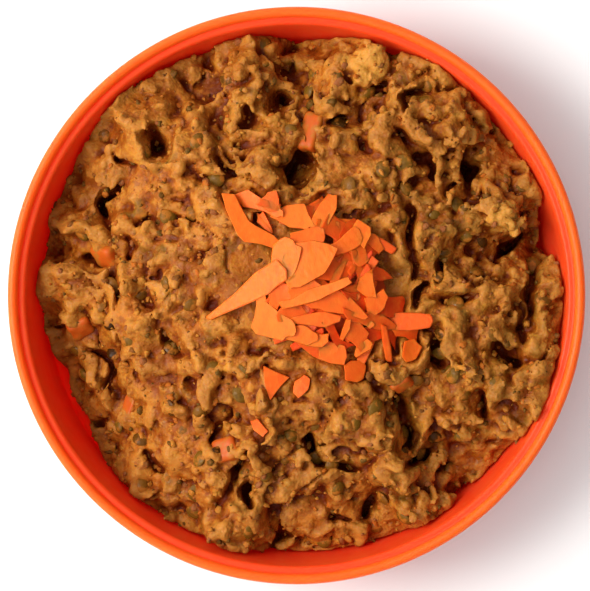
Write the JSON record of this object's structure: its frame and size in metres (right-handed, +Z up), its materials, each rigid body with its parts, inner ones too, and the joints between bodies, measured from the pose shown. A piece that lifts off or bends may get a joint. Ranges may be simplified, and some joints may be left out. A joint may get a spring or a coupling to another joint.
{
  "type": "bowl of stew",
  "caption": "Round shallow bowl heaped with thick, craggy beef and potato stew full of lentils, with a pile of grated carrot on top; food to be spooned out.",
  "frame": {"origin": "on the table under the middle of the bowl's foot ring", "axes": "+Z up out of the bowl; -Y is the side nearest the viewer, at the bottom of the picture; +X is the picture's right"},
  "size_m": [0.19, 0.19, 0.0589],
  "materials": {
    "bowl_plastic": "satin orange-red plastic",
    "stew": "moist mashed potato, lentils and ground beef",
    "raw_carrot": "moist raw grated carrot"
  },
  "bodies": {
    "root": {"bowl": "bowl_plastic", "stew": "stew", "carrot_pile": "raw_carrot", "carrot_chip_1": "raw_carrot", "carrot_chip_2": "raw_carrot", "carrot_chip_3": "raw_carrot", "carrot_chip_4": "raw_carrot", "carrot_chip_5": "raw_carrot"}
  },
  "joints": []
}
